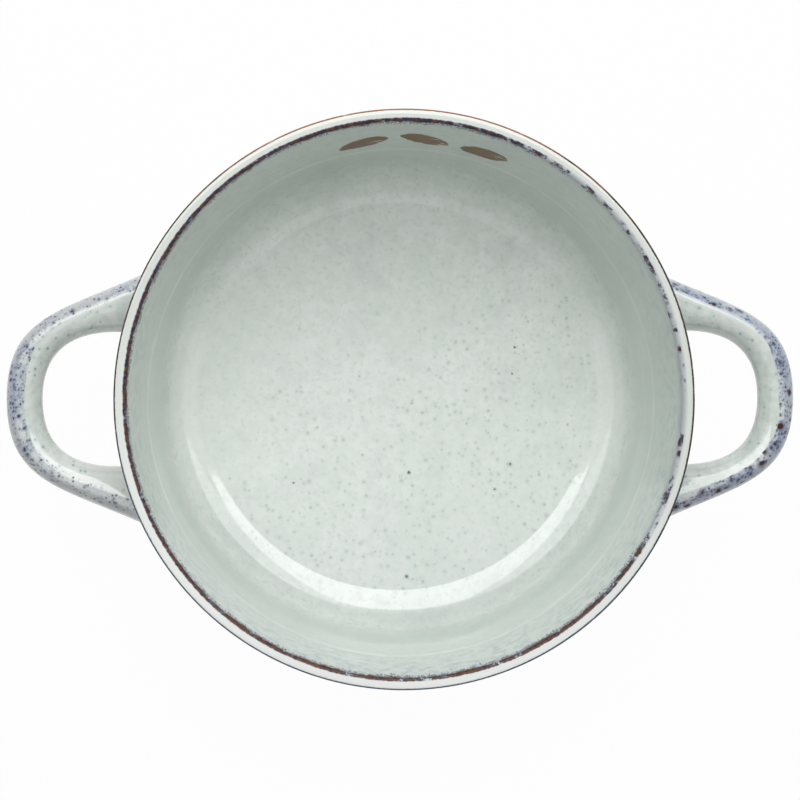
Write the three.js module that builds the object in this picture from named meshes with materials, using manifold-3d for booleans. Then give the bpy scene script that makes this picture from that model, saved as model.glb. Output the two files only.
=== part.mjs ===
// Two-handled soup bowl in glazed stoneware.
// Millimetres, +Z up, +X through the two handles; the origin is under the middle of the foot ring.
import * as THREE from "three";
import { mergeVertices } from "three/addons/utils/BufferGeometryUtils.js";
import Module from "manifold-3d";

const wasm = await Module();
wasm.setup();

// Wall and rim
const RIM_DIAMETER = 150;
const BOWL_HEIGHT = 66;
const RIM_WIDTH = 3.3;
const RIM_ROUND = 0.85;
const WALL_LEAN = THREE.MathUtils.degToRad(9);
const WALL_FOOT_WIDTH = 4.8;

// Floor and the curve between floor and wall
const FLOOR_DIAMETER = 105;
const FLOOR_THICKNESS = 5.8;
const FLOOR_CREASE_ROUND = 3;
const HAUNCH_SLOPE = THREE.MathUtils.degToRad(14);
const HAUNCH_ROUND = 11;

// Foot ring
const FOOT_DIAMETER = 94;
const FOOT_WIDTH = 5.6;
const FOOT_HEIGHT = 4.2;
const FOOT_DRAFT = 0.7;
const FOOT_ROUND = 0.8;
const FOOT_JOIN_ROUND = 1.6;

// Handle outlines as seen from above
const HANDLE_DROP = 29;
const HANDLE_REACH = 33.5;
const HANDLE_WIDTH = 9.5;
const ROOT_BURY = 13;
const ROOT_SPREAD = 76.5;
const OUTER_SPLAY = THREE.MathUtils.degToRad(-28.6);
const OUTER_SWEEP = 32;
const OUTER_BOW = 25.3;
const ROOT_GAP = 30;
const INNER_SPLAY = THREE.MathUtils.degToRad(14.5);
const INNER_SWEEP = 25;
const INNER_BOW = 16.5;

// Handle section
const GRIP_RISE = 5;
const GRIP_DROP = 5.4;
const ROOT_RISE = 7.4;
const ROOT_DROP = 7.8;
const CREST_INSET = 3.6;
const HANDLE_LIFT = 1.5;

// Seats of the handles on the wall
const SLIP_THICKNESS = 1;
const SLIP_BEAD = 0.6;
const SEAT_CLEARANCE = 0.3;

// Fineness of the curved surfaces
const TURNS = 72;
const ARC_STEP = THREE.MathUtils.degToRad(15);
const HANDLE_STEPS = 32;
const SECTION_STEPS = 20;
const ROUND_SHARE = 0.98;

const rimRadius = RIM_DIAMETER / 2;
const floorRadius = FLOOR_DIAMETER / 2;
const footRadius = FOOT_DIAMETER / 2;
const floorTop = FOOT_HEIGHT + FLOOR_THICKNESS;
const handleLevel = BOWL_HEIGHT - HANDLE_DROP;

// A straight line in the bowl's section, from a point and its rise per unit of radius.
const line = (r, z, slope) => ({ r, z, slope });

const lineThrough = (a, b) => line(a.r, a.z, (b.z - a.z) / (b.r - a.r));

const crossing = (a, b) => {
  const r = (b.z - a.z + a.slope * a.r - b.slope * b.r) / (a.slope - b.slope);
  return { r, z: a.z + a.slope * (r - a.r) };
};

// The outer face of the wall and the slanting underside, moved outwards by an offset.
const wallLine = (offset = 0) =>
  line(rimRadius + offset / Math.cos(WALL_LEAN), BOWL_HEIGHT, 1 / Math.tan(WALL_LEAN));

const undersideLine = (offset = 0) =>
  line(footRadius + FOOT_DRAFT, FOOT_HEIGHT - offset / Math.cos(HAUNCH_SLOPE), Math.tan(HAUNCH_SLOPE));

const wallRadius = (z) => rimRadius - (BOWL_HEIGHT - z) * Math.tan(WALL_LEAN);

// Turns a list of corners with rounding radii into the points of a rounded outline.
// Where two roundings meet on a short side, both shrink until they share it.
const roundedOutline = (corners) => {
  const spots = corners.map(({ r, z }) => new THREE.Vector2(r, z));
  const ways = (i) => [i - 1, i + 1].map((j) => spots[j].clone().sub(spots[i]).normalize());
  const halfAngles = corners.map(({ round }, i) => {
    if (!round) {
      return Math.PI / 2;
    }
    const [back, ahead] = ways(i);
    return Math.acos(THREE.MathUtils.clamp(back.dot(ahead), -1, 1)) / 2;
  });
  const wanted = corners.map(({ round = 0 }, i) => round / Math.tan(halfAngles[i]));
  const shrink = (i, j) => {
    const room = ROUND_SHARE * spots[i].distanceTo(spots[j]);
    return Math.min(1, room / (wanted[i] + wanted[j]));
  };
  const points = [];
  corners.forEach(({ round }, i) => {
    if (!round) {
      points.push(spots[i]);
      return;
    }
    const [back, ahead] = ways(i);
    const setback = wanted[i] * Math.min(shrink(i - 1, i), shrink(i, i + 1));
    const depth = setback / Math.cos(halfAngles[i]);
    const centre = back.clone().add(ahead).normalize().multiplyScalar(depth).add(spots[i]);
    const start = back.clone().multiplyScalar(setback).add(spots[i]);
    const turn = (Math.PI - 2 * halfAngles[i]) * Math.sign(ahead.cross(back));
    const steps = Math.max(2, Math.ceil(Math.abs(turn) / ARC_STEP));
    for (let k = 0; k <= steps; k += 1) {
      points.push(start.clone().rotateAround(centre, (turn * k) / steps));
    }
  });
  return points;
};

const turned = (corners) => {
  const geometry = new THREE.LatheGeometry(roundedOutline(corners), TURNS);
  return geometry.rotateX(Math.PI / 2);
};

// The bowl's section from the middle of the underside, round the foot and rim, to the middle of the floor.
const bowlGeometry = () => {
  const footInner = footRadius - FOOT_WIDTH;
  const innerRim = { r: rimRadius - RIM_WIDTH, z: BOWL_HEIGHT };
  const innerFoot = { r: wallRadius(floorTop) - WALL_FOOT_WIDTH, z: floorTop };
  const crease = { r: floorRadius, z: floorTop };
  const haunch = crossing(
    lineThrough(innerRim, innerFoot),
    line(crease.r, crease.z, Math.tan(HAUNCH_SLOPE)),
  );
  const belly = crossing(wallLine(), undersideLine());
  return turned([
    { r: 0, z: FOOT_HEIGHT },
    { r: footInner - FOOT_DRAFT, z: FOOT_HEIGHT, round: FOOT_JOIN_ROUND },
    { r: footInner, z: 0, round: FOOT_ROUND },
    { r: footRadius, z: 0, round: FOOT_ROUND },
    { r: footRadius + FOOT_DRAFT, z: FOOT_HEIGHT, round: FOOT_JOIN_ROUND },
    { ...belly, round: HAUNCH_ROUND + WALL_FOOT_WIDTH },
    { r: rimRadius, z: BOWL_HEIGHT, round: RIM_ROUND },
    { ...innerRim, round: RIM_ROUND },
    { ...haunch, round: HAUNCH_ROUND },
    { ...crease, round: FLOOR_CREASE_ROUND },
    { r: 0, z: floorTop },
  ]);
};

// The room the bowl takes up, swollen outwards by an offset and filled in.
const bowlEnvelope = (offset) => {
  const wall = wallLine(offset);
  const underside = undersideLine(offset);
  const belly = crossing(wall, underside);
  return turned([
    { r: 0, z: underside.z - underside.slope * underside.r },
    { ...belly, round: HAUNCH_ROUND + WALL_FOOT_WIDTH + offset },
    { r: wall.r, z: BOWL_HEIGHT },
    { r: 0, z: BOWL_HEIGHT },
  ]);
};

const solid = (geometry) => {
  const plain = geometry.clone();
  plain.deleteAttribute("normal");
  plain.deleteAttribute("uv");
  const merged = mergeVertices(plain, 1e-4);
  return new wasm.Manifold(
    new wasm.Mesh({
      numProp: 3,
      vertProperties: new Float32Array(merged.attributes.position.array),
      triVerts: new Uint32Array(merged.index.array),
    }),
  );
};

const geometryOf = (body) => {
  const mesh = body.getMesh();
  const geometry = new THREE.BufferGeometry();
  geometry.setAttribute("position", new THREE.BufferAttribute(new Float32Array(mesh.vertProperties), 3));
  geometry.setIndex(new THREE.BufferAttribute(new Uint32Array(mesh.triVerts), 1));
  geometry.computeVertexNormals();
  return geometry;
};

// The two outlines of one arm, from inside the wall to the middle of the grip.
const wallAtHandle = wallRadius(handleLevel);
const rootX = wallAtHandle - ROOT_BURY;
const gripX = wallAtHandle + HANDLE_REACH;
const armOutline = (spread, splay, sweep, edgeX, bow) => {
  const root = new THREE.Vector2(rootX, spread / 2);
  const lead = new THREE.Vector2(sweep, 0).rotateAround(new THREE.Vector2(), splay);
  const bend = new THREE.Vector2(edgeX, bow);
  return new THREE.CubicBezierCurve(root, lead.add(root), bend, new THREE.Vector2(edgeX, 0));
};
const outerArm = armOutline(ROOT_SPREAD, OUTER_SPLAY, OUTER_SWEEP, gripX, OUTER_BOW);
const innerArm = armOutline(ROOT_GAP, INNER_SPLAY, INNER_SWEEP, gripX - HANDLE_WIDTH, INNER_BOW);

// One section of the handle: four quarter ovals that meet at the crest, the keel and the two sides.
const sectionPoint = (width, rise, drop, angle) => {
  const across = Math.cos(angle);
  const up = Math.sin(angle);
  const crest = up > 0 ? width / 2 - CREST_INSET : 0;
  const reach = across > 0 ? width / 2 - crest : width / 2 + crest;
  return { across: crest + reach * across, up: up * (up > 0 ? rise : drop) };
};

// The whole loop before it is cut to the wall, thickened all round by a bead.
const handleLoft = (bead) => {
  const positions = [];
  const index = [];
  for (let i = 0; i <= HANDLE_STEPS; i += 1) {
    const along = (2 * i) / HANDLE_STEPS - 1;
    const t = 1 - Math.abs(along);
    const side = along < 0 ? 1 : -1;
    const outer = outerArm.getPoint(t);
    const inner = innerArm.getPoint(t);
    const width = outer.distanceTo(inner);
    const ease = THREE.MathUtils.smootherstep(t, 0, 1);
    const rise = THREE.MathUtils.lerp(ROOT_RISE, GRIP_RISE, ease);
    const drop = THREE.MathUtils.lerp(ROOT_DROP, GRIP_DROP, ease);
    const level = handleLevel + HANDLE_LIFT * ease;
    const middle = outer.clone().add(inner).multiplyScalar(0.5);
    const outwards = outer.clone().sub(inner).normalize();
    for (let k = 0; k < SECTION_STEPS; k += 1) {
      const angle = (2 * Math.PI * k) / SECTION_STEPS;
      const p = sectionPoint(width + 2 * bead, rise + bead, drop + bead, angle);
      const plan = middle.clone().addScaledVector(outwards, p.across);
      positions.push(plan.x, side * plan.y, level + p.up);
    }
  }
  for (let i = 0; i < HANDLE_STEPS; i += 1) {
    for (let k = 0; k < SECTION_STEPS; k += 1) {
      const a = i * SECTION_STEPS + k;
      const b = i * SECTION_STEPS + ((k + 1) % SECTION_STEPS);
      const c = a + SECTION_STEPS;
      const d = b + SECTION_STEPS;
      index.push(a, b, c, b, d, c);
    }
  }
  const last = HANDLE_STEPS * SECTION_STEPS;
  for (let k = 1; k < SECTION_STEPS - 1; k += 1) {
    index.push(0, k + 1, k);
    index.push(last, last + k, last + k + 1);
  }
  const geometry = new THREE.BufferGeometry();
  geometry.setAttribute("position", new THREE.Float32BufferAttribute(positions, 3));
  geometry.setIndex(index);
  return geometry;
};

// A block over one half of the bowl, the back half or the front half.
const halfSpace = (side) => {
  const span = 4 * (rimRadius + HANDLE_REACH);
  const block = new THREE.BoxGeometry(span, span, span);
  return block.translate(0, (side * span) / 2, 0);
};

const slipInner = solid(bowlEnvelope(SEAT_CLEARANCE));
const slipOuter = solid(bowlEnvelope(SEAT_CLEARANCE + SLIP_THICKNESS));
const seat = solid(bowlEnvelope(2 * SEAT_CLEARANCE + SLIP_THICKNESS));

const loop = solid(handleLoft(0)).subtract(seat);
const slipRing = solid(handleLoft(SLIP_BEAD)).intersect(slipOuter).subtract(slipInner);

const GLAZE = { color: 0xd6dcd6, roughness: 0.25, metalness: 0 };
const SLIP = { color: 0xcfc9bf, roughness: 0.6, metalness: 0 };

const part = new THREE.Group();
part.name = "soup_bowl";

const addPiece = (name, geometry, finish) => {
  const mesh = new THREE.Mesh(geometry, new THREE.MeshStandardMaterial(finish));
  mesh.name = name;
  part.add(mesh);
};

addPiece("bowl_body", bowlGeometry(), GLAZE);

const SIDES = { right: 0, left: Math.PI };
const ENDS = { back: 1, front: -1 };
for (const [side, turn] of Object.entries(SIDES)) {
  addPiece(`${side}_handle`, geometryOf(loop).rotateZ(turn), GLAZE);
  for (const [end, way] of Object.entries(ENDS)) {
    const facing = turn === 0 ? way : -way;
    const slip = geometryOf(slipRing.intersect(solid(halfSpace(facing))));
    addPiece(`${side}_handle_${end}_slip`, slip.rotateZ(turn), SLIP);
  }
}

export default part;
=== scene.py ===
"""Two-handled stoneware soup bowl: the glazed pieces, the studio and the camera.

The classes hold their sizes in millimetres, and a mesh becomes metres as its last step.
"""

import functools
import logging
import math
from dataclasses import dataclass, field
from enum import Enum
from typing import Mapping, Sequence, Union

import bmesh
import bpy
from mathutils import Matrix, Vector, geometry


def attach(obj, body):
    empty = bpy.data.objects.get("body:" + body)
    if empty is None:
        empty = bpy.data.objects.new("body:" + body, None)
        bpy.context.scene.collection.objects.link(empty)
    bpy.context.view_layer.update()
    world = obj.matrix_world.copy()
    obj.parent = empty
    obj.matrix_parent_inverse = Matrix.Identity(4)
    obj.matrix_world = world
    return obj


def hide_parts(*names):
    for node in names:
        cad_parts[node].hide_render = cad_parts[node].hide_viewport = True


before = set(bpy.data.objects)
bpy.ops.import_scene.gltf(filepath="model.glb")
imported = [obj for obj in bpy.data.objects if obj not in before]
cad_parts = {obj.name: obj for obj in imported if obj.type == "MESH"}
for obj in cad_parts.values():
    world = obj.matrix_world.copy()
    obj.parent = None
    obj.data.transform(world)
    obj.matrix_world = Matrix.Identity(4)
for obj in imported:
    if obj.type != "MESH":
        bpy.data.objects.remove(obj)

LOG = logging.getLogger("soup_bowl")
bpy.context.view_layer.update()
MM = 0.001
WELD = 1e-4
ROOT_BODY = "root"
WHITE = (1.0, 1.0, 1.0, 1.0)
LUMP_ROUGHNESS = 0.55
# A Mix node has several sockets of one name, so its colour sockets go by their places.
MIX_COVER, MIX_UNDER, MIX_OVER, MIX_RESULT = 0, 6, 7, 2

Colour = tuple[float, float, float, float]


def display(red: int, green: int, blue: int) -> Colour:
    """Turns display values from 0 to 255 into a linear colour.

    Args:
        red: Red display value.
        green: Green display value.
        blue: Blue display value.

    Returns:
        The linear colour with full alpha.
    """
    channels = []
    for value in (red, green, blue):
        share = value / 255
        channels.append(share / 12.92 if share <= 0.04045 else ((share + 0.055) / 1.055) ** 2.4)
    return (channels[0], channels[1], channels[2], 1.0)


class Side(Enum):
    """The two sides of the bowl that carry a handle."""

    LEFT = -1
    RIGHT = 1


class Shade:
    """A number that changes over a surface: one socket, whose arithmetic adds Math nodes."""

    def __init__(self, bench: "NodeBench", socket: bpy.types.NodeSocket) -> None:
        """Wraps a value socket of the bench's node tree."""
        self.bench = bench
        self.socket = socket

    def _math(self, operation: str, first: "Value", second: "Value" = 0.0) -> "Shade":
        """Adds one Math node.

        Args:
            operation: Name of the Math node's operation.
            first: First operand.
            second: Second operand.

        Returns:
            The node's result.
        """
        node = self.bench.node("ShaderNodeMath", {"operation": operation}, {0: first, 1: second})
        return Shade(self.bench, node.outputs[0])

    def __add__(self, other: "Value") -> "Shade":
        """Adds."""
        return self._math("ADD", self, other)

    def __radd__(self, other: float) -> "Shade":
        """Adds to a plain number."""
        return self._math("ADD", other, self)

    def __sub__(self, other: "Value") -> "Shade":
        """Subtracts."""
        return self._math("SUBTRACT", self, other)

    def __rsub__(self, other: float) -> "Shade":
        """Subtracts from a plain number."""
        return self._math("SUBTRACT", other, self)

    def __mul__(self, other: "Value") -> "Shade":
        """Multiplies."""
        return self._math("MULTIPLY", self, other)

    def __rmul__(self, other: float) -> "Shade":
        """Multiplies a plain number."""
        return self._math("MULTIPLY", other, self)

    def __truediv__(self, other: "Value") -> "Shade":
        """Divides."""
        return self._math("DIVIDE", self, other)

    def __pow__(self, other: "Value") -> "Shade":
        """Raises to a power."""
        return self._math("POWER", self, other)

    def __abs__(self) -> "Shade":
        """Drops the sign."""
        return self._math("ABSOLUTE", self)

    def at_least(self, other: "Value") -> "Shade":
        """Takes the larger of two values."""
        return self._math("MAXIMUM", self, other)

    def turn_from(self, ahead: "Value") -> "Shade":
        """Angle of a direction with this value sideways and another ahead, in radians."""
        return self._math("ARCTAN2", self, ahead)

    def ramp(self, start: "Value", end: "Value") -> "Shade":
        """Goes smoothly from 0 at start to 1 at end, in either direction.

        Args:
            start: Value that gives 0.
            end: Value that gives 1.

        Returns:
            The eased value, from 0 to 1.
        """
        settings = {"interpolation_type": "SMOOTHSTEP"}
        sockets = {"Value": self, "From Min": start, "From Max": end}
        node = self.bench.node("ShaderNodeMapRange", settings, sockets)
        return Shade(self.bench, node.outputs["Result"])


Link = bpy.types.NodeSocket
Value = Union[float, Shade]
Input = Union[float, Sequence[float], Shade, Link]


class NodeBench:
    """Builds one node tree, of a material or of the world."""

    def __init__(self, owner: Union[bpy.types.Material, bpy.types.World]) -> None:
        """Clears the owner's tree for a new start.

        Args:
            owner: Material or world that gets the nodes.
        """
        owner.use_nodes = True
        self.owner = owner
        self.tree = owner.node_tree
        self.tree.nodes.clear()

    def node(
        self,
        kind: str,
        settings: Mapping[str, object],
        sockets: Mapping[Union[int, str], Input],
    ) -> bpy.types.Node:
        """Adds a node, sets it, then fills its sockets.

        Args:
            kind: Blender's name of the node type.
            settings: Attributes of the node.
            sockets: Values or links of its inputs, by name or place.

        Returns:
            The new node.
        """
        made = self.tree.nodes.new(kind)
        for key, value in settings.items():
            setattr(made, key, value)
        for key, value in sockets.items():
            source = value.socket if isinstance(value, Shade) else value
            if isinstance(source, Link):
                self.tree.links.new(source, made.inputs[key])
            else:
                made.inputs[key].default_value = source
        return made

    def value(self, socket: Link) -> Shade:
        """Wraps a socket for arithmetic."""
        return Shade(self, socket)

    def place(self) -> Link:
        """Gives the point on the piece, in millimetres."""
        where = self.node("ShaderNodeTexCoord", {}, {}).outputs["Object"]
        return self.stretch(where, (1 / MM, 1 / MM, 1 / MM))

    def stretch(self, vector: Link, factors: Sequence[float]) -> Link:
        """Multiplies a vector axis by axis.

        Args:
            vector: Vector to stretch.
            factors: Factor of each axis.

        Returns:
            The stretched vector.
        """
        sockets = {0: vector, 1: factors}
        return self.node("ShaderNodeVectorMath", {"operation": "MULTIPLY"}, sockets).outputs[0]

    def shifted(self, vector: Link, offset: Input) -> Link:
        """Adds an offset to a vector."""
        sockets = {0: vector, 1: offset}
        return self.node("ShaderNodeVectorMath", {"operation": "ADD"}, sockets).outputs[0]

    def axes(self, vector: Link) -> tuple[Shade, Shade, Shade]:
        """Splits a vector into its three numbers."""
        made = self.node("ShaderNodeSeparateXYZ", {}, {"Vector": vector})
        return tuple(self.value(socket) for socket in made.outputs)

    def attribute(self, name: str) -> Shade:
        """Reads a number that the mesh carries at its points."""
        made = self.node("ShaderNodeAttribute", {"attribute_name": name}, {})
        return self.value(made.outputs["Fac"])

    def noise(self, vector: Link, size: float, detail: float = 2.0) -> Shade:
        """Soft noise around 0.5.

        Args:
            vector: Place, in millimetres.
            size: Size of its lumps, in millimetres.
            detail: Number of finer layers.

        Returns:
            The noise.
        """
        sockets = {"Vector": vector, "Scale": 1 / size, "Detail": detail, "Roughness": LUMP_ROUGHNESS}
        return self.value(self.node("ShaderNodeTexNoise", {}, sockets).outputs["Fac"])

    def ruffled(self, vector: Link, size: float, reach: float) -> Link:
        """Moves a place about a little, so that round marks become uneven ones.

        Args:
            vector: Place, in millimetres.
            size: Size of the ruffles, in millimetres.
            reach: How far they move a point, in millimetres.

        Returns:
            The moved place.
        """
        sockets = {"Vector": vector, "Scale": 1 / size, "Detail": 2.0}
        wander = self.node("ShaderNodeTexNoise", {}, sockets).outputs["Color"]
        centred = self.shifted(wander, (-0.5, -0.5, -0.5))
        return self.shifted(vector, self.stretch(centred, (2 * reach, 2 * reach, 2 * reach)))

    def mix(self, under: Input, over: Input, cover: Value) -> Link:
        """Lays one colour over another.

        Args:
            under: Colour below.
            over: Colour on top.
            cover: How much of the top colour shows.

        Returns:
            The mixed colour.
        """
        sockets = {MIX_COVER: cover, MIX_UNDER: under, MIX_OVER: over}
        return self.node("ShaderNodeMix", {"data_type": "RGBA"}, sockets).outputs[MIX_RESULT]


@dataclass(frozen=True)
class Blots:
    """Uneven specks, which show where fine noise rises above a level.

    Attributes:
        colour: Colour of a speck.
        size: Size of the noise's lumps, in millimetres.
        level: Level of the noise above which sparse specks show.
        crowding: How far the level falls where they crowd.
        edge: Width of a speck's soft edge, as a step of the noise.
        cover: How much of the coat below a speck hides.
    """

    colour: Colour
    size: float
    level: float
    crowding: float
    edge: float
    cover: float

    def lay(self, bench: NodeBench, under: Input, place: Link, dense: Value) -> Link:
        """Lays the specks over a colour.

        Args:
            bench: Tree to build in.
            under: Colour below.
            place: Point on the piece, in millimetres.
            dense: From 0, sparse, to 1, crowded.

        Returns:
            The specked colour.
        """
        level = self.level - dense * self.crowding
        speck = bench.noise(place, self.size, 1.0).ramp(level, level + self.edge)
        return bench.mix(under, self.colour, speck * self.cover)


@dataclass(frozen=True)
class Spots:
    """Separate round spots of different size and strength, each with a halo.

    Attributes:
        colour: Colour of a spot.
        halo: Colour round it.
        pitch: Size of the cell that holds one spot, in millimetres.
        radius: Radius of the largest spots, in millimetres.
        share: Share of the cells that hold a spot.
        cover: How much of the coat below a spot hides.
        halo_cover: The same for its halo.
        softness: Share of the radius over which a spot fades out.
        fade: How much weaker the faintest spots are.
        smallest: Radius of the smallest spots, as a share of the largest.
        thinning: Step of the share over which spots grow weak.
        halo_reach: Outer and inner radius of the halo's fade, as shares of the spot's.
        ruffle: Size and reach of the uneven edge, as shares of the radius.
    """

    colour: Colour
    halo: Colour
    pitch: float
    radius: float
    share: float
    cover: float
    halo_cover: float = 0.45
    softness: float = 0.45
    fade: float = 0.5
    smallest: float = 0.4
    thinning: float = 0.15
    halo_reach: tuple[float, float] = (2.0, 0.6)
    ruffle: tuple[float, float] = (1.6, 0.4)

    def lay(self, bench: NodeBench, under: Input, place: Link, dense: Value) -> tuple[Link, Shade]:
        """Lays the spots over a colour.

        Args:
            bench: Tree to build in.
            under: Colour below.
            place: Point on the piece, in millimetres.
            dense: From 0, no spots, to 1, the full share.

        Returns:
            The spotted colour, and 1 on a spot.
        """
        uneven = bench.ruffled(place, *(self.radius * share for share in self.ruffle))
        cells = bench.node("ShaderNodeTexVoronoi", {}, {"Vector": uneven, "Scale": 1 / self.pitch})
        chance, scale, strength = bench.axes(cells.outputs["Color"])
        away = bench.value(cells.outputs["Distance"]) * self.pitch
        size = (scale * (1 - self.smallest) + self.smallest) * self.radius
        share = dense * self.share
        held = chance.ramp(share, share - self.thinning) * (1 - strength * self.fade)
        glow = away.ramp(*(size * reach for reach in self.halo_reach)) * held
        dot = away.ramp(size, size * (1 - self.softness)) * held
        ringed = bench.mix(under, self.halo, glow * self.halo_cover)
        return bench.mix(ringed, self.colour, dot * self.cover), dot


@dataclass(frozen=True)
class Glaze:
    """The pale grey-green reactive glaze, with its specks, thin edges and bare clay, and a near-white
    for painted light.
    """

    milk: Colour = display(227, 231, 227)
    sage: Colour = display(208, 217, 210)
    shallow: Colour = display(195, 207, 198)
    rim: Colour = display(217, 222, 216)
    lilac: Colour = display(174, 176, 180)
    haze: Colour = display(154, 166, 184)
    violet: Colour = display(132, 136, 156)
    navy: Colour = display(28, 32, 66)
    steel: Colour = display(74, 94, 116)
    iron: Colour = display(98, 60, 36)
    umber: Colour = display(58, 42, 36)
    rust: Colour = display(150, 98, 56)
    wash: Colour = display(132, 108, 86)
    clay: Colour = display(196, 180, 160)
    # Near-white used as painted light: highlights on the front of the rim and on the side haunches,
    # and a pool of light on the floor.
    bright: Colour = display(244, 247, 244)
    mist: Spots = Spots(
        display(168, 184, 176), display(194, 206, 198),
        pitch=1.9, radius=0.74, share=0.85, cover=0.58, halo_cover=0.3, softness=0.9,
    )
    grains: Spots = Spots(
        display(128, 150, 146), display(184, 198, 192),
        pitch=2.8, radius=0.58, share=0.75, cover=0.7, halo_cover=0.4, softness=0.8,
    )
    teal_dots: Spots = Spots(
        display(44, 74, 92), display(150, 170, 172),
        pitch=6.0, radius=0.66, share=0.7, cover=0.95, fade=0.1,
    )
    outer_grains: Blots = Blots(
        display(70, 74, 108), size=1.1, level=0.74, crowding=0.12, edge=0.06, cover=0.8,
    )
    outer_spots: Spots = Spots(
        display(84, 54, 40), display(80, 84, 120), pitch=8.0, radius=1.0, share=0.3, cover=0.9,
    )
    rim_spots: Spots = Spots(
        display(72, 38, 24), display(62, 66, 104),
        pitch=2.7, radius=1.0, share=0.62, cover=1.0, halo_cover=0.7, softness=0.35, fade=0.0,
    )
    roughness: float = 0.05
    roughness_spread: float = 0.03
    ior: float = 1.72
    dry_roughness: float = 0.8
    dry_sheen: float = 0.15
    dry_iron: float = 0.8
    dry_fleck: float = 0.5
    peel_size: float = 3.4
    grain_size: float = 0.35
    relief: float = 0.015

    def pale_coat(self, bench: NodeBench, place: Link, dense: Value, light_pool: Value = 0.0) -> Link:
        """The thick, pale coat of the inside, with clouds, soft specks and painted light where asked.

        Args:
            bench: Tree to build in.
            place: Point on the piece, in millimetres.
            dense: How crowded the soft specks are, from 0 to 1.
            light_pool: How much painted light to lay on the coat, from 0 to 1.

        Returns:
            Its colour.
        """
        clouds = bench.noise(place, 24.0, 3.0).ramp(0.34, 0.66)
        mottle = bench.noise(place, 3.2, 3.0).ramp(0.3, 0.7)
        colour = bench.mix(self.milk, self.sage, clouds * 0.4 + mottle * 0.5)
        veil = bench.noise(bench.shifted(place, (1.0, 6.0, 2.0)), 1.3, 3.0).ramp(0.5, 0.74)
        colour = bench.mix(colour, self.shallow, veil * 0.7)
        blush = bench.noise(bench.shifted(place, (8.0, 2.0, 5.0)), 11.0, 3.0).ramp(0.48, 0.68)
        colour = bench.mix(colour, self.lilac, blush * 0.14)
        # Painted light: near-white laid where the pool of light falls.
        colour = bench.mix(colour, self.bright, light_pool)
        colour, _ = self.mist.lay(bench, colour, place, dense)
        colour, _ = self.grains.lay(bench, colour, bench.shifted(place, (5.0, 1.0, 3.0)), dense)
        colour, _ = self.teal_dots.lay(bench, colour, place, dense)
        return colour

    def thin_coat(self, bench: NodeBench, place: Link) -> Link:
        """The thinner, greyer coat of the outside, with navy and iron specks.

        Args:
            bench: Tree to build in.
            place: Point on the piece, in millimetres.

        Returns:
            Its colour.
        """
        runs = bench.noise(bench.stretch(place, (1.0, 1.0, 0.35)), 9.0, 3.0).ramp(0.3, 0.7)
        colour = bench.mix(self.lilac, self.sage, runs * 0.75)
        drift = bench.noise(place, 22.0).ramp(0.35, 0.7)
        colour = self.outer_grains.lay(bench, colour, place, drift)
        colour, _ = self.outer_spots.lay(bench, colour, place, drift)
        return colour

    def surface(self, bench: NodeBench, colour: Link, place: Link, dry: Shade) -> bpy.types.Material:
        """Ends a tree in the glazed surface.

        Args:
            bench: Tree to end.
            colour: Colour all over the piece.
            place: Point on the piece, in millimetres.
            dry: From 0, glossy glaze, to 1, bare clay.

        Returns:
            The material.
        """
        peel = bench.noise(place, self.peel_size)
        uneven = peel + bench.noise(place, self.grain_size) * dry
        sockets = {"Strength": 1.0, "Distance": self.relief * MM, "Height": uneven}
        bump = bench.node("ShaderNodeBump", {}, sockets)
        coated = {"Base Color": colour, "Normal": bump.outputs["Normal"]}
        smoothest = self.roughness - self.roughness_spread / 2
        glossy = {"Roughness": peel * self.roughness_spread + smoothest, "IOR": self.ior}
        matte = {"Roughness": self.dry_roughness, "Specular IOR Level": self.dry_sheen}
        wet = bench.node("ShaderNodeBsdfPrincipled", {}, {**coated, **glossy})
        bare = bench.node("ShaderNodeBsdfPrincipled", {}, {**coated, **matte})
        layers = {0: dry, 1: wet.outputs["BSDF"], 2: bare.outputs["BSDF"]}
        ware = bench.node("ShaderNodeMixShader", {}, layers)
        bench.node("ShaderNodeOutputMaterial", {}, {"Surface": ware.outputs["Shader"]})
        return bench.owner


@dataclass(frozen=True)
class Corner:
    """A corner of the turned outline, with its rounding and the edges that lead to it."""

    radius: float
    height: float
    round: float = 0.0
    steps: int = 6
    lead: int = 3

    @property
    def spot(self) -> Vector:
        """The corner in the plane of the outline."""
        return Vector((self.radius, 0.0, self.height))


class OutlinePen:
    """Draws a turned outline as a chain of edges in the plane through the axis."""

    def __init__(self, mesh: bmesh.types.BMesh, start: Vector) -> None:
        """Sets the pen down.

        Args:
            mesh: Mesh that gets the chain.
            start: First point.
        """
        self.mesh = mesh
        self.tip = mesh.verts.new(start)

    def line(self, end: Vector, steps: int) -> None:
        """Draws a straight line.

        Args:
            end: Last point of the line.
            steps: Number of edges.
        """
        start = self.tip.co.copy()
        for step in range(1, steps + 1):
            self.tip = bmesh.ops.extrude_vert_indiv(self.mesh, verts=[self.tip])["verts"][0]
            self.tip.co = start.lerp(end, step / steps)

    def round(self, before: Vector, corner: Corner, after: Vector) -> None:
        """Draws up to a corner and round it.

        Args:
            before: Corner before it.
            corner: Corner to go round.
            after: Corner after it.
        """
        back = (before - corner.spot).normalized()
        ahead = (after - corner.spot).normalized()
        half = back.angle(ahead) / 2
        self.line(corner.spot + back * (corner.round / math.tan(half)), corner.lead)
        spun = bmesh.ops.spin(
            self.mesh,
            geom=[self.tip],
            cent=corner.spot + (back + ahead).normalized() * (corner.round / math.sin(half)),
            axis=ahead.cross(back).normalized(),
            angle=math.pi - 2 * half,
            steps=corner.steps,
            use_duplicate=False,
        )
        self.tip = next(item for item in spun["geom_last"] if isinstance(item, bmesh.types.BMVert))


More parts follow.
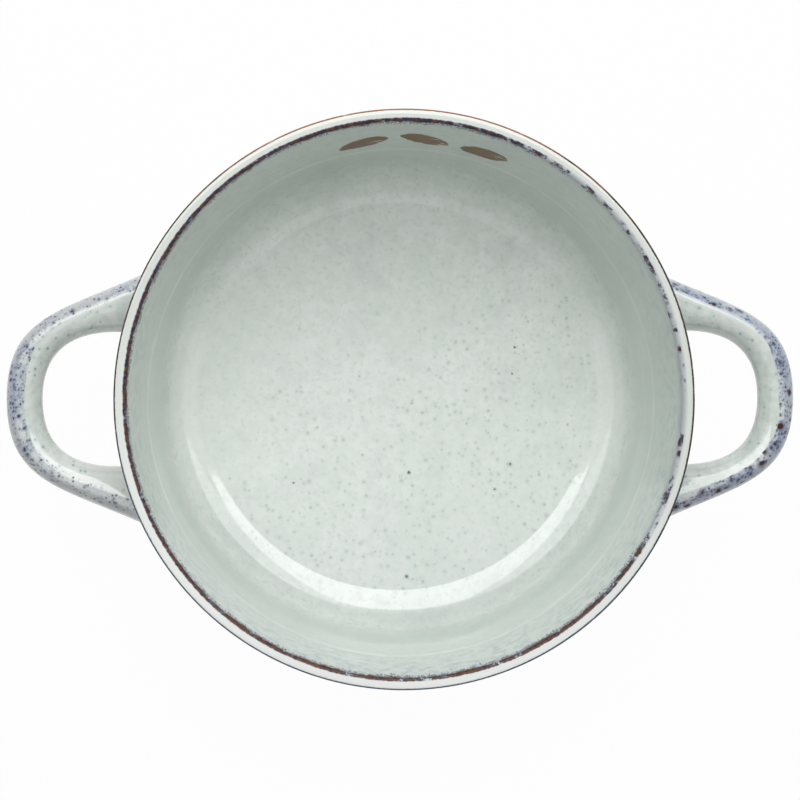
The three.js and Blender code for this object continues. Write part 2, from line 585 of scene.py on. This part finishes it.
def piece_from(
    name: str,
    mesh: bmesh.types.BMesh,
    material: bpy.types.Material,
    nodes: Sequence[str],
) -> None:
    """Turns a finished mesh into a piece that rides on the object's one body.

    Args:
        name: Name of the piece.
        mesh: Mesh in millimetres, freed here.
        material: Its finish.
        nodes: Solids that it stands for.
    """
    bmesh.ops.transform(mesh, matrix=Matrix.Scale(MM, 4), verts=mesh.verts)
    for face in mesh.faces:
        face.smooth = True
    data = bpy.data.meshes.new(name)
    mesh.to_mesh(data)
    mesh.free()
    data.materials.append(material)
    made = bpy.data.objects.new(name, data)
    bpy.context.scene.collection.objects.link(made)
    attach(made, ROOT_BODY)
    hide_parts(*nodes)
    LOG.info("%s: %d faces", name, len(data.polygons))


@dataclass
class BowlBody:
    """The turned bowl: foot ring, belly, leaning wall, flat rim and flat floor."""

    rim_radius: float = 75.0
    height: float = 66.0
    rim_width: float = 3.3
    rim_round: float = 0.88
    wall_lean: float = math.radians(9)
    wall_foot_width: float = 4.8
    floor_radius: float = 52.5
    floor_thickness: float = 5.8
    crease_round: float = 3.0
    haunch_slope: float = math.radians(14)
    haunch_round: float = 11.0
    foot_radius: float = 47.0
    foot_width: float = 5.6
    foot_height: float = 4.2
    foot_draft: float = 0.7
    foot_round: float = 0.8
    foot_join_round: float = 1.6
    # Height and tilt of the painted highlight line round the inner wall.
    glint_line_height: float = 40.3
    glint_line_tilt: float = 4.5
    bare_height: float = 1.6
    dash_spots: Sequence[tuple[float, float]] = ((-10.0, 45.0), (6.0, 47.0), (22.0, 45.5))
    dash_tilts: Sequence[float] = (2.4, -2.6, 1.4)
    dash_reach: float = 6.6
    dash_width: float = 5.0
    dash_inset: float = 4.0
    turns: int = 256

    @property
    def floor(self) -> float:
        """Height of the floor's top."""
        return self.foot_height + self.floor_thickness

    @property
    def lip(self) -> float:
        """Radius of the rim's inner edge."""
        return self.rim_radius - self.rim_width

    def wall_radius(self, height: float) -> float:
        """Radius of the wall's outer face at a height."""
        return self.rim_radius - (self.height - height) * math.tan(self.wall_lean)

    def wall_distance(self, point: Vector) -> float:
        """How far a point is outside the wall's outer face, below zero inside the wall."""
        return (point.xy.length - self.wall_radius(point.z)) * math.cos(self.wall_lean)

    def wall_normal(self, point: Vector) -> Vector:
        """Direction out of the wall's outer face beside a point."""
        outwards = point.xy.normalized().to_3d() * math.cos(self.wall_lean)
        return outwards - Vector((0.0, 0.0, math.sin(self.wall_lean)))

    @staticmethod
    def crossing(first: Sequence[Vector], second: Sequence[Vector]) -> Vector:
        """Point where two straight lines of the outline meet.

        Args:
            first: Two points of one line.
            second: Two points of the other.

        Returns:
            The meeting point.
        """
        return geometry.intersect_line_line(*first, *second)[0]

    def outer_corners(self) -> list[Corner]:
        """Lists the corners of the outside, from under the middle to the rim's outer edge."""
        foot_inner = self.foot_radius - self.foot_width
        join = Vector((self.foot_radius + self.foot_draft, 0.0, self.foot_height))
        slope = Vector((1.0, 0.0, math.tan(self.haunch_slope)))
        rim = Vector((self.rim_radius, 0.0, self.height))
        wall = Vector((self.wall_radius(self.floor), 0.0, self.floor))
        belly = self.crossing((rim, wall), (join, join + slope))
        return [
            Corner(0.0, self.foot_height),
            Corner(foot_inner - self.foot_draft, self.foot_height, self.foot_join_round, lead=16),
            Corner(foot_inner, 0.0, self.foot_round),
            Corner(self.foot_radius, 0.0, self.foot_round),
            Corner(join.x, join.z, self.foot_join_round),
            Corner(belly.x, belly.z, self.haunch_round + self.wall_foot_width, steps=14),
            Corner(rim.x, rim.z, self.rim_round, steps=8, lead=16),
        ]

    def inner_corners(self) -> list[Corner]:
        """Lists the corners of the inside, from the rim's inner edge to the floor's middle."""
        rim = Vector((self.lip, 0.0, self.height))
        wall = Vector((self.wall_radius(self.floor) - self.wall_foot_width, 0.0, self.floor))
        crease = Vector((self.floor_radius, 0.0, self.floor))
        slope = Vector((1.0, 0.0, math.tan(self.haunch_slope)))
        haunch = self.crossing((rim, wall), (crease, crease + slope))
        return [
            Corner(rim.x, rim.z, self.rim_round, steps=8),
            Corner(haunch.x, haunch.z, self.haunch_round, steps=16, lead=16),
            Corner(crease.x, crease.z, self.crease_round, steps=5),
            Corner(0.0, self.floor, lead=20),
        ]

    def build(self, glaze: Glaze) -> None:
        """Turns the outline round the axis and dresses it.

        Args:
            glaze: Finish of the ware.
        """
        mesh = bmesh.new()
        inside = mesh.verts.layers.float.new("inside")
        outer, inner = self.outer_corners(), self.inner_corners()
        corners = outer + inner
        pen = OutlinePen(mesh, corners[0].spot)
        for place in range(1, len(corners) - 1):
            drawn = len(mesh.verts)
            pen.round(corners[place - 1].spot, corners[place], corners[place + 1].spot)
            mesh.verts.ensure_lookup_table()
            for vert in mesh.verts[drawn:]:
                vert[inside] = float(place >= len(outer))
        pen.line(corners[-1].spot, corners[-1].lead)
        mesh.verts.ensure_lookup_table()
        for vert in mesh.verts[-corners[-1].lead:]:
            vert[inside] = 1.0
        bmesh.ops.spin(
            mesh,
            geom=mesh.verts[:] + mesh.edges[:],
            cent=(0.0, 0.0, 0.0),
            axis=(0.0, 0.0, 1.0),
            angle=2 * math.pi,
            steps=self.turns,
            use_merge=True,
            use_duplicate=False,
        )
        bmesh.ops.remove_doubles(mesh, verts=mesh.verts, dist=WELD)
        bmesh.ops.recalc_face_normals(mesh, faces=mesh.faces)
        piece_from("glazed_bowl", mesh, self.coat(glaze), ["bowl_body"])

    def coat(self, glaze: Glaze) -> bpy.types.Material:
        """Glazes the bowl: pale inside, thin outside, painted highlights and shade, iron edges,
        brushed dashes, bare foot.

        Args:
            glaze: Finish of the ware.

        Returns:
            The material.
        """
        bench = NodeBench(bpy.data.materials.new("bowl_glaze"))
        place = bench.place()
        across, back, height = bench.axes(place)
        radius = (across * across + back * back) ** 0.5
        inside = bench.attribute("inside")
        outer_coat = glaze.thin_coat(bench, place)
        colour = bench.mix(outer_coat, self.inner_coat(glaze, bench, place), inside)
        # Painted highlight: the rim's top turns near-white towards the front.
        front = ((across * -0.3 - back) / radius).ramp(-0.3, 0.9)
        crown = height.ramp(self.height - 0.8, self.height - 0.2)
        colour = bench.mix(colour, bench.mix(glaze.rim, glaze.bright, front), crown * 0.9)
        brushed = self.dashes(bench, place) * inside
        colour = bench.mix(colour, glaze.wash, brushed)
        colour, iron = self.rim_edges(glaze, bench, colour, place, radius)
        ragged = height + bench.noise(place, 2.5) * 0.8
        bare = ragged.ramp(self.bare_height + 0.3, self.bare_height)
        burnt = ragged.ramp(3.4, 2.0) * radius.ramp(38.0, 40.0)
        colour = bench.mix(colour, glaze.rust, burnt * 0.6)
        colour = bench.mix(colour, glaze.clay, bare)
        dry = bare.at_least(iron.at_least(brushed) * glaze.dry_iron)
        return glaze.surface(bench, colour, place, dry)

    def floor_coat(self, glaze: Glaze, bench: NodeBench, place: Link) -> Link:
        """Paints a pool of light on the floor, fading out towards the back, and crowds its specks
        towards the front right.

        Args:
            glaze: Finish of the ware.
            bench: Tree to build in.
            place: Point on the piece, in millimetres.

        Returns:
            The colour of the floor.
        """
        across, back, height = bench.axes(place)
        flat = height.ramp(self.floor + 1.0, self.floor + 0.3)
        corner = (across * 0.7 - back) / self.floor_radius
        drift = bench.noise(bench.shifted(place, (40.0, 0.0, 9.0)), 30.0)
        dense = flat * (corner * 0.5 + drift * 1.3).ramp(0.1, 1.0) + (1 - flat) * 0.05
        # Painted pool of light on the floor: none at the back, full from just behind the middle to
        # the front.
        light_pool = flat * back.ramp(46.0, 8.0) * 0.26
        return glaze.pale_coat(bench, place, dense, light_pool)

    def inner_coat(self, glaze: Glaze, bench: NodeBench, place: Link) -> Link:
        """Lets the pale coat run thin and streaky on the wall, and paints shade on the wall and low
        at the front, and highlights on the side haunches and along a line round the wall.

        Args:
            glaze: Finish of the ware.
            bench: Tree to build in.
            place: Point on the piece, in millimetres.

        Returns:
            The colour of the inside.
        """
        across, back, height = bench.axes(place)
        radius = (across * across + back * back) ** 0.5
        beside, north = abs(across / radius), back / radius
        colour = self.floor_coat(glaze, bench, place)
        runs = bench.noise(bench.stretch(place, (1.0, 1.0, 0.16)), 5.0)
        rings = bench.noise(bench.stretch(place, (0.05, 0.05, 1.0)), 1.5, 3.0)
        # Runs and rings are streaks of thinner coat; the even darkening and the extra towards the
        # left and right sides are painted shade.
        wall = height.ramp(self.floor + 5.0, self.floor + 18.0)
        thinned_and_shaded = runs * 0.4 + rings * 0.5 + beside.ramp(0.5, 1.0) * 0.18 + 0.2
        colour = bench.mix(colour, glaze.shallow, wall * thinned_and_shaded)
        bloom = bench.noise(bench.shifted(place, (3.0, 8.0, 0.0)), 2.6, 4.0).ramp(0.42, 0.68)
        top = height.ramp(self.height - 34.0, self.height - 3.0)
        colour = bench.mix(colour, glaze.haze, bloom * top * (0.36 - north * 0.26))
        # Painted highlight: the haunch at the left and right sides is painted near-white.
        above_crease = height.ramp(self.floor + 0.2, self.floor + 0.8)
        haunch = above_crease * height.ramp(self.floor + 7.0, self.floor + 3.0)
        colour = bench.mix(colour, glaze.bright, haunch * beside.ramp(0.86, 1.0) * 0.5)
        # Painted shade: the low front of the wall is greyed with lilac.
        low = height.ramp(self.floor + 9.0, self.floor + 3.0)
        colour = bench.mix(colour, glaze.lilac, low * back.ramp(-15.0, -50.0) * 0.18)
        broken = bench.noise(bench.stretch(place, (1.0, 1.0, 0.2)), 16.0).ramp(0.46, 0.6)
        streaks = rings.ramp(0.6, 0.66) * broken * wall
        # Painted highlight: a thin pale line along a fine ridge in the glaze, lower towards the back;
        # the streaks above are real.
        glint_line_level = height + north * self.glint_line_tilt + rings * 1.6
        glint_line = abs(glint_line_level - self.glint_line_height).ramp(1.3, 0.4) * (broken * 0.5 + 0.5)
        return bench.mix(colour, glaze.milk, (streaks * 0.5).at_least(glint_line * 0.6))

    def rim_edges(
        self,
        glaze: Glaze,
        bench: NodeBench,
        colour: Link,
        place: Link,
        radius: Shade,
    ) -> tuple[Link, Shade]:
        """Draws the iron lines where the glaze runs thin on the two edges of the rim.

        Args:
            glaze: Finish of the ware.
            bench: Tree to build in.
            colour: Colour below.
            place: Point on the piece, in millimetres.
            radius: Distance from the axis, in millimetres.

        Returns:
            The colour with the lines on it, and where iron lies bare.
        """
        across, back, height = bench.axes(place)
        east = across / radius
        north = back / radius
        beads = bench.noise(place, 4.6) - 0.5
        crumbs = bench.noise(place, 0.9) - 0.5
        hairs = bench.noise(bench.stretch(place, (1.0, 1.0, 0.12)), 0.5, 1.0) - 0.5
        inner = radius.ramp(self.rim_radius - 1.7, self.rim_radius - 2.0)
        scarce = (east + north * 0.25).ramp(0.5, 0.95)
        down = (self.height + self.lip + self.rim_round) - height - radius
        start = down + crumbs * 0.5 + 0.1
        depth = beads * (scarce * 8.0 + 8.0) + crumbs * 5.0 - scarce * 3.5 + 1.7
        shade = start.ramp(-0.1 - scarce * 0.5, 0.6) * down.ramp(7.0, 0.8) * inner
        colour = bench.mix(colour, glaze.violet, shade * 0.55)
        fringe = start.ramp(0.0, 0.4) * (depth + hairs * 9.0 + 2.8 - down).ramp(0.0, 1.6) * inner
        colour = bench.mix(colour, glaze.navy, fringe * depth.ramp(-1.4, 0.6) * 0.9)
        core = start.ramp(0.15, 0.4) * (depth - down).ramp(-0.2, 0.3) * inner
        dark = (crumbs + north * 0.06).ramp(-0.08, 0.12)
        colour = bench.mix(colour, bench.mix(glaze.iron, glaze.navy, dark * 0.85), core)
        ledge = down.ramp(-0.2, 0.5) * down.ramp(3.2, 1.8) * inner * scarce
        colour, bead = glaze.rim_spots.lay(bench, colour, place, ledge)
        over = radius - height + (self.height - self.rim_radius + self.rim_round) + crumbs * 0.3
        edge = bench.mix(glaze.umber, glaze.rust, (north + beads - abs(east) * 0.3).ramp(0.3, 0.9))
        edge = bench.mix(edge, glaze.steel, (beads * 1.2 - north - east * 0.2).ramp(0.0, 0.6))
        wide = east.ramp(0.1, 0.8) * 0.2
        ending = (over + beads * 6.0 + crumbs * 2.0).ramp(3.2, 1.7)
        line = over.ramp(0.32 - wide, 0.55 - wide) * ending * (1 - inner)
        return bench.mix(colour, edge, line), core.at_least(line).at_least(bead)

    def dashes(self, bench: NodeBench, place: Link) -> Shade:
        """Brushes a plain row of three tapered dashes on the back of the inner wall.

        Args:
            bench: Tree to build in.
            place: Point on the piece, in millimetres.

        Returns:
            1 on a dash.
        """
        across, back, height = bench.axes(place)
        along = across.turn_from(back) * (self.lip - self.dash_inset)
        bristle = bench.noise(bench.stretch(place, (0.25, 0.25, 1.0)), 1.1, 3.0) - 0.5
        marks = []
        for (centre, level), tilt in zip(self.dash_spots, self.dash_tilts):
            reach = (along - centre) / self.dash_reach
            taper = (1 - reach * reach).at_least(0.0) ** 0.6
            width = taper * self.dash_width
            offset = abs(height - level - reach * tilt) + bristle * 3.4
            mark = offset.ramp(width + 0.2, width - 0.7) * taper.ramp(0.02, 0.2)
            marks.append(mark * (1 - bristle.ramp(0.06, 0.14) * reach.ramp(0.0, 0.8)))
        return functools.reduce(Shade.at_least, marks)


@dataclass(frozen=True)
class Dusting:
    """How one handle took the glaze.

    Attributes:
        heavy: How crowded its specks are.
        outset: How far outside the crest they start, in millimetres.
        spotted: How many of them are iron spots.
        front: How much of them goes on to the front root.
        milky: How pale the inner face turns towards the front.
        grey: How grey the outer face is.
    """

    heavy: float
    outset: float
    spotted: float
    front: float
    milky: float
    grey: float


@dataclass
class LoopHandle:
    """A pulled loop of clay, set flat on the wall, with its roots smoothed into it."""

    bowl: BowlBody
    drop: float = 29.0
    reach: float = 33.5
    width: float = 9.5
    bury: float = 13.0
    root_spread: float = 76.5
    outer_splay: float = math.radians(-28.6)
    outer_sweep: float = 32.0
    outer_bow: float = 25.3
    root_gap: float = 30.0
    inner_splay: float = math.radians(14.5)
    inner_sweep: float = 25.0
    inner_bow: float = 16.5
    grip_rise: float = 5.0
    grip_drop: float = 5.4
    root_rise: float = 7.4
    root_drop: float = 7.8
    crest_inset: float = 3.6
    lift: float = 1.5
    root_round: float = 2.6
    sunk: float = 1.0
    stations: int = 96
    around: int = 56
    root_crowding: float = 1.5
    halvings: int = 24
    shore_dots: Spots = Spots(
        display(76, 138, 148), display(150, 184, 182),
        pitch=1.7, radius=0.55, share=0.95, cover=0.75, halo_cover=0.4, softness=0.7,
    )
    dust: Blots = Blots(
        display(84, 100, 138), size=0.7, level=0.72, crowding=0.24, edge=0.16, cover=0.55,
    )
    flecks: Spots = Spots(
        display(16, 18, 50), display(78, 90, 132),
        pitch=0.95, radius=0.44, share=1.1, cover=1.0, halo_cover=0.5, softness=0.5, fade=0.45,
    )
    clumps: Spots = Spots(
        display(18, 18, 46), display(70, 80, 124),
        pitch=1.8, radius=0.74, share=0.95, cover=0.95, halo_cover=0.6, softness=0.5, fade=0.4,
    )
    iron_spots: Spots = Spots(
        display(60, 30, 18), display(52, 54, 96),
        pitch=3.4, radius=1.2, share=0.78, cover=1.0, halo_cover=0.85, softness=0.35, fade=0.0,
    )
    left_dusting: Dusting = Dusting(
        heavy=0.85, outset=-0.3, spotted=0.12, front=0.3, milky=1.0, grey=0.0,
    )
    right_dusting: Dusting = Dusting(
        heavy=1.0, outset=0.45, spotted=0.95, front=1.0, milky=0.0, grey=0.42,
    )
    outlines: tuple[Sequence[Vector], Sequence[Vector]] = field(init=False)
    starts: dict[float, float] = field(init=False, default_factory=dict)

    def __post_init__(self) -> None:
        """Works out the two outlines of one arm, seen from above."""
        wall = self.bowl.wall_radius(self.bowl.height - self.drop)
        root, grip = wall - self.bury, wall + self.reach
        self.outlines = (
            self.arm(Vector((root, self.root_spread / 2)), self.outer_splay, self.outer_sweep,
                     Vector((grip, self.outer_bow))),
            self.arm(Vector((root, self.root_gap / 2)), self.inner_splay, self.inner_sweep,
                     Vector((grip - self.width, self.inner_bow))),
        )

    @staticmethod
    def arm(root: Vector, splay: float, sweep: float, bend: Vector) -> Sequence[Vector]:
        """Lays out one outline of an arm, from inside the wall to the middle of the grip.

        Args:
            root: End inside the wall.
            splay: Direction that it leaves in, from straight outwards.
            sweep: How far it keeps that direction.
            bend: Point that it bends round before the grip.

        Returns:
            The end, two handles and other end of a cubic curve.
        """
        lead = Vector((math.cos(splay), math.sin(splay))) * sweep
        return root, root + lead, bend, Vector((bend.x, 0.0))

    @staticmethod
    def on_curve(points: Sequence[Vector], share: float) -> Vector:
        """Point of a cubic curve.

        Args:
            points: Its end, two handles and other end.
            share: Place along it, from 0 to 1.

        Returns:
            The point.
        """
        rest = 1 - share
        weights = (rest ** 3, 3 * rest ** 2 * share, 3 * rest * share ** 2, share ** 3)
        return sum((point * weight for point, weight in zip(points, weights)), Vector((0.0, 0.0)))

    @staticmethod
    def eased(share: float) -> float:
        """Goes from 0 to 1 with no bend at either end."""
        return share ** 3 * (share * (share * 6 - 15) + 10)

    def skin(self, share: float, angle: float) -> tuple[Vector, Vector, float]:
        """Point of the bare loop before its root is smoothed.

        Args:
            share: Place along the arm, 0 in the wall and 1 at the grip.
            angle: Place round the section.

        Returns:
            The point, its direction outwards and its distance from the crest round the section.
        """
        outer = self.on_curve(self.outlines[0], share)
        inner = self.on_curve(self.outlines[1], share)
        ease = self.eased(share)
        half = (outer - inner).length / 2
        rise = self.root_rise + (self.grip_rise - self.root_rise) * ease
        drop = self.root_drop + (self.grip_drop - self.root_drop) * ease
        up, over = math.sin(angle), math.cos(angle)
        crest = half - self.crest_inset if up > 0 else 0.0
        reach = half - crest if over > 0 else half + crest
        tall = rise if up > 0 else drop
        outwards = (outer - inner).normalized().to_3d()
        middle = ((outer + inner) / 2).to_3d()
        level = self.bowl.height - self.drop + self.lift * ease
        point = middle + outwards * (crest + reach * over) + Vector((0.0, 0.0, level + tall * up))
        normal = (outwards * (tall * over) + Vector((0.0, 0.0, reach * up))).normalized()
        from_crest = reach * over
        if up <= 0:
            side = math.copysign(1.0, over)
            from_crest = side * (half - side * (half - self.crest_inset) - tall * up)
        return point, normal, from_crest

    def wall_share(self, angle: float) -> float:
        """Place along the arm where one lengthwise line of the loop goes into the wall.

        Args:
            angle: Place of the line round the section.

        Returns:
            The place, from 0 to 1.
        """
        low, high = 0.0, 1.0
        for _ in range(self.halvings):
            middle = (low + high) / 2
            if self.bowl.wall_distance(self.skin(middle, angle)[0]) < -self.sunk:
                low = middle
            else:
                high = middle
        return high

    def rooted(self, share: float, angle: float) -> tuple[Vector, float]:
        """Point of the loop with its root flared into the wall.

        Args:
            share: Place along the visible arm, 0 just inside the wall and 1 at the grip.
            angle: Place round the section.

        Returns:
            The point and its distance from the crest line.
        """
        if angle not in self.starts:
            self.starts[angle] = self.wall_share(angle)
        start = self.starts[angle]
        along = start + (1 - start) * share ** self.root_crowding
        point, normal, from_crest = self.skin(along, angle)
        gap = min(max(self.bowl.wall_distance(point), 0.0), self.root_round)
        away = self.bowl.wall_normal(point)
        spread = (normal - away * normal.dot(away)).normalized()
        flare = self.root_round - math.sqrt(self.root_round ** 2 - (self.root_round - gap) ** 2)
        return point + spread * flare, from_crest

    def build(self, side: Side, glaze: Glaze) -> None:
        """Lofts the loop, turns it to its side and dresses it.

        Args:
            side: Side of the bowl that it sits on.
            glaze: Finish of the ware.
        """
        mesh = bmesh.new()
        crest = mesh.verts.layers.float.new("crest")
        bmesh.ops.create_grid(mesh, x_segments=self.stations, y_segments=self.around, size=1.0)
        for vert in mesh.verts:
            along, angle = vert.co.x, math.pi * vert.co.y
            point, vert[crest] = self.rooted(1 - abs(along), angle)
            vert.co = Vector((point.x, math.copysign(point.y, -along), point.z))
        bmesh.ops.remove_doubles(mesh, verts=mesh.verts, dist=WELD)
        bmesh.ops.holes_fill(mesh, edges=[edge for edge in mesh.edges if edge.is_boundary], sides=0)
        bmesh.ops.recalc_face_normals(mesh, faces=mesh.faces)
        turn = Matrix.Rotation(0.0 if side is Side.RIGHT else math.pi, 3, "Z")
        bmesh.ops.rotate(mesh, verts=mesh.verts, cent=(0.0, 0.0, 0.0), matrix=turn)
        name = f"{side.name.lower()}_handle"
        nodes = [name, f"{name}_back_slip", f"{name}_front_slip"]
        piece_from(f"glazed_{name}", mesh, self.coat(side, glaze), nodes)

    def coat(self, side: Side, glaze: Glaze) -> bpy.types.Material:
        """Glazes the loop: pale on the inner face, thin and specked along the crest, with a painted
        highlight on the crest.

        Args:
            side: Side of the bowl, which sets how heavily it is specked.
            glaze: Finish of the ware.

        Returns:
            The material.
        """
        dusting = self.right_dusting if side is Side.RIGHT else self.left_dusting
        bench = NodeBench(bpy.data.materials.new(f"{side.name.lower()}_handle_glaze"))
        place = bench.place()
        _, back, _ = bench.axes(place)
        sway = bench.noise(place, 7.0) - 0.5
        line = bench.attribute("crest") + sway * 1.2
        outside = line.ramp(-0.2, 1.2)
        clouds = bench.noise(place, 2.4, 4.0).ramp(0.38, 0.64)
        pale = bench.mix(glaze.pale_coat(bench, place, 0.25), glaze.shallow, 0.6)
        milky = clouds * 0.6 + back.ramp(-5.0, -25.0) * dusting.milky
        pale = bench.mix(pale, glaze.milk, milky)
        colour = bench.mix(pale, glaze.thin_coat(bench, place), outside)
        # Painted highlight: a pale line along the crest.
        crest_highlight = line.ramp(-1.0, 0.0) * line.ramp(1.5, 0.8)
        colour = bench.mix(colour, glaze.milk, crest_highlight * 0.7)
        drift = bench.noise(bench.shifted(place, (7.0, 3.0, 0.0)), 8.0).ramp(0.34, 0.6)
        lean = line + back.ramp(24.0, 8.0) * 1.6 - dusting.outset
        reach = back.ramp(-30.0, -10.0) * (1 - dusting.front) + dusting.front
        band = lean.ramp(0.1, 1.0) * line.ramp(4.6, 1.6) * reach
        colour = bench.mix(colour, glaze.haze, band * (drift * 0.5 + 0.1) + outside * dusting.grey)
        shore = line.ramp(-7.0, -3.0) * line.ramp(0.2, -1.0)
        colour, _ = self.shore_dots.lay(bench, colour, place, shore * (drift * 0.6 + 0.4))
        near = lean.ramp(0.2, 0.8) * line.ramp(2.8, 1.4)
        dense = (band * (drift * 0.45 + 0.42) + near * 0.22) * dusting.heavy
        colour = self.dust.lay(bench, colour, place, dense)
        colour, fleck = self.flecks.lay(bench, colour, place, dense)
        colour, clump = self.clumps.lay(bench, colour, bench.shifted(place, (2.0, 9.0, 4.0)), dense)
        colour, spot = self.iron_spots.lay(bench, colour, place, band * dusting.spotted)
        dry = (fleck.at_least(clump) * glaze.dry_fleck).at_least(spot * glaze.dry_iron)
        return glaze.surface(bench, colour, place, dry)


@dataclass(frozen=True)
class Softbox:
    """A soft panel that hangs level above the bowl, with its sizes in metres."""

    name: str
    across: tuple[float, float]
    back: tuple[float, float]
    height: float
    strength: float

    def hang(self) -> None:
        """Hangs the panel, hidden from the camera."""
        lamp = bpy.data.lights.new(self.name, "AREA")
        lamp.shape = "RECTANGLE"
        lamp.size = self.across[1] - self.across[0]
        lamp.size_y = self.back[1] - self.back[0]
        lamp.energy = self.strength * math.pi * lamp.size * lamp.size_y
        made = bpy.data.objects.new(self.name, lamp)
        made.location = (sum(self.across) / 2, sum(self.back) / 2, self.height)
        made.visible_camera = False
        bpy.context.scene.collection.objects.link(made)


@dataclass
class Studio:
    """The pale floor, the soft lights and the camera above the bowl."""

    bowl: BowlBody
    camera_side: float = -36.4
    camera_back: float = 14.6
    camera_above_rim: float = 1000.0
    rim_pixels: float = 292.0
    image_pixels: float = 800.0
    rim_shift: Vector = field(default_factory=lambda: Vector((4.95, 0.2)))
    roll: float = math.radians(-0.18)
    sky_strength: float = 0.29
    sensor_width: float = 36.0
    paper: Colour = (0.86, 0.86, 0.86, 1.0)
    floor_white: float = 0.97
    floor_gap: float = 0.2
    floor_reach: float = 6000.0
    softboxes: Sequence[Softbox] = (
        Softbox("key_softbox", (-0.45, 0.45), (0.145, 1.45), 1.0, 2.9),
        Softbox("left_softbox", (-1.9, -0.45), (0.25, 1.6), 1.0, 1.0),
        Softbox("right_softbox", (0.45, 1.9), (0.25, 1.9), 1.0, 1.1),
        Softbox("front_softbox", (-0.5, 0.5), (-0.55, -0.3), 1.0, 0.5),
    )

    def build_floor(self) -> None:
        """Lays a wide pale floor under the foot ring."""
        mesh = bmesh.new()
        bmesh.ops.create_grid(mesh, x_segments=1, y_segments=1, size=self.floor_reach * MM)
        bmesh.ops.translate(mesh, verts=mesh.verts, vec=(0.0, 0.0, -self.floor_gap * MM))
        data = bpy.data.meshes.new("studio_floor")
        mesh.to_mesh(data)
        mesh.free()
        bench = NodeBench(bpy.data.materials.new("floor_paper"))
        paper = bench.node("ShaderNodeBsdfDiffuse", {}, {"Color": self.paper})
        white = bench.node("ShaderNodeEmission", {}, {"Color": WHITE})
        seen = self.seen_directly(bench) * self.floor_white
        layers = {0: seen, 1: paper.outputs[0], 2: white.outputs[0]}
        mixed = bench.node("ShaderNodeMixShader", {}, layers)
        bench.node("ShaderNodeOutputMaterial", {}, {"Surface": mixed.outputs[0]})
        data.materials.append(bench.owner)
        floor = bpy.data.objects.new("studio_floor", data)
        bpy.context.scene.collection.objects.link(floor)

    @staticmethod
    def seen_directly(bench: NodeBench) -> Shade:
        """Gives 1 where the camera sees a surface, straight or in a gloss."""
        rays = bench.node("ShaderNodeLightPath", {}, {})
        seen = bench.value(rays.outputs["Is Camera Ray"])
        for kind in ("Is Glossy Ray", "Is Transmission Ray"):
            seen = seen.at_least(bench.value(rays.outputs[kind]))
        return seen

    def build_sky(self) -> None:
        """Surrounds the set with dim even light that the camera and the gloss see as white."""
        world = bpy.data.worlds.new("studio")
        bpy.context.scene.world = world
        bench = NodeBench(world)
        strength = self.seen_directly(bench) * (1 - self.sky_strength) + self.sky_strength
        sky = bench.node("ShaderNodeBackground", {}, {"Color": WHITE, "Strength": strength})
        bench.node("ShaderNodeOutputWorld", {}, {"Surface": sky.outputs[0]})

    def build_camera(self) -> None:
        """Sets the camera nearly straight above the bowl, as in the photograph."""
        pixel = self.bowl.rim_radius / self.rim_pixels
        lens = bpy.data.cameras.new("camera")
        lens.sensor_width = self.sensor_width
        lens.lens = self.sensor_width * self.camera_above_rim / (pixel * self.image_pixels)
        level = self.bowl.height + self.camera_above_rim
        spot = Vector((self.camera_side, self.camera_back, level)) * MM
        aim = (self.rim_shift * -pixel).to_3d() + Vector((0.0, 0.0, self.bowl.height))
        away = (spot - aim * MM).normalized()
        up = away.cross(Vector((math.cos(self.roll), math.sin(self.roll), 0.0))).normalized()
        made = bpy.data.objects.new("camera", lens)
        made.matrix_world = Matrix((up.cross(away), up, away)).transposed().to_4x4()
        made.location = spot
        bpy.context.scene.collection.objects.link(made)
        bpy.context.scene.camera = made
        bpy.context.scene.view_settings.view_transform = "Standard"

    def build(self) -> None:
        """Builds the whole set."""
        self.build_floor()
        self.build_sky()
        for softbox in self.softboxes:
            softbox.hang()
        self.build_camera()


def main() -> None:
    """Builds the bowl, its handles and the studio."""
    logging.basicConfig(level=logging.INFO, format="%(name)s: %(message)s")
    glaze = Glaze()
    bowl = BowlBody()
    bowl.build(glaze)
    handle = LoopHandle(bowl)
    for side in Side:
        handle.build(side, glaze)
    Studio(bowl).build()


if __name__ == "__main__":
    main()
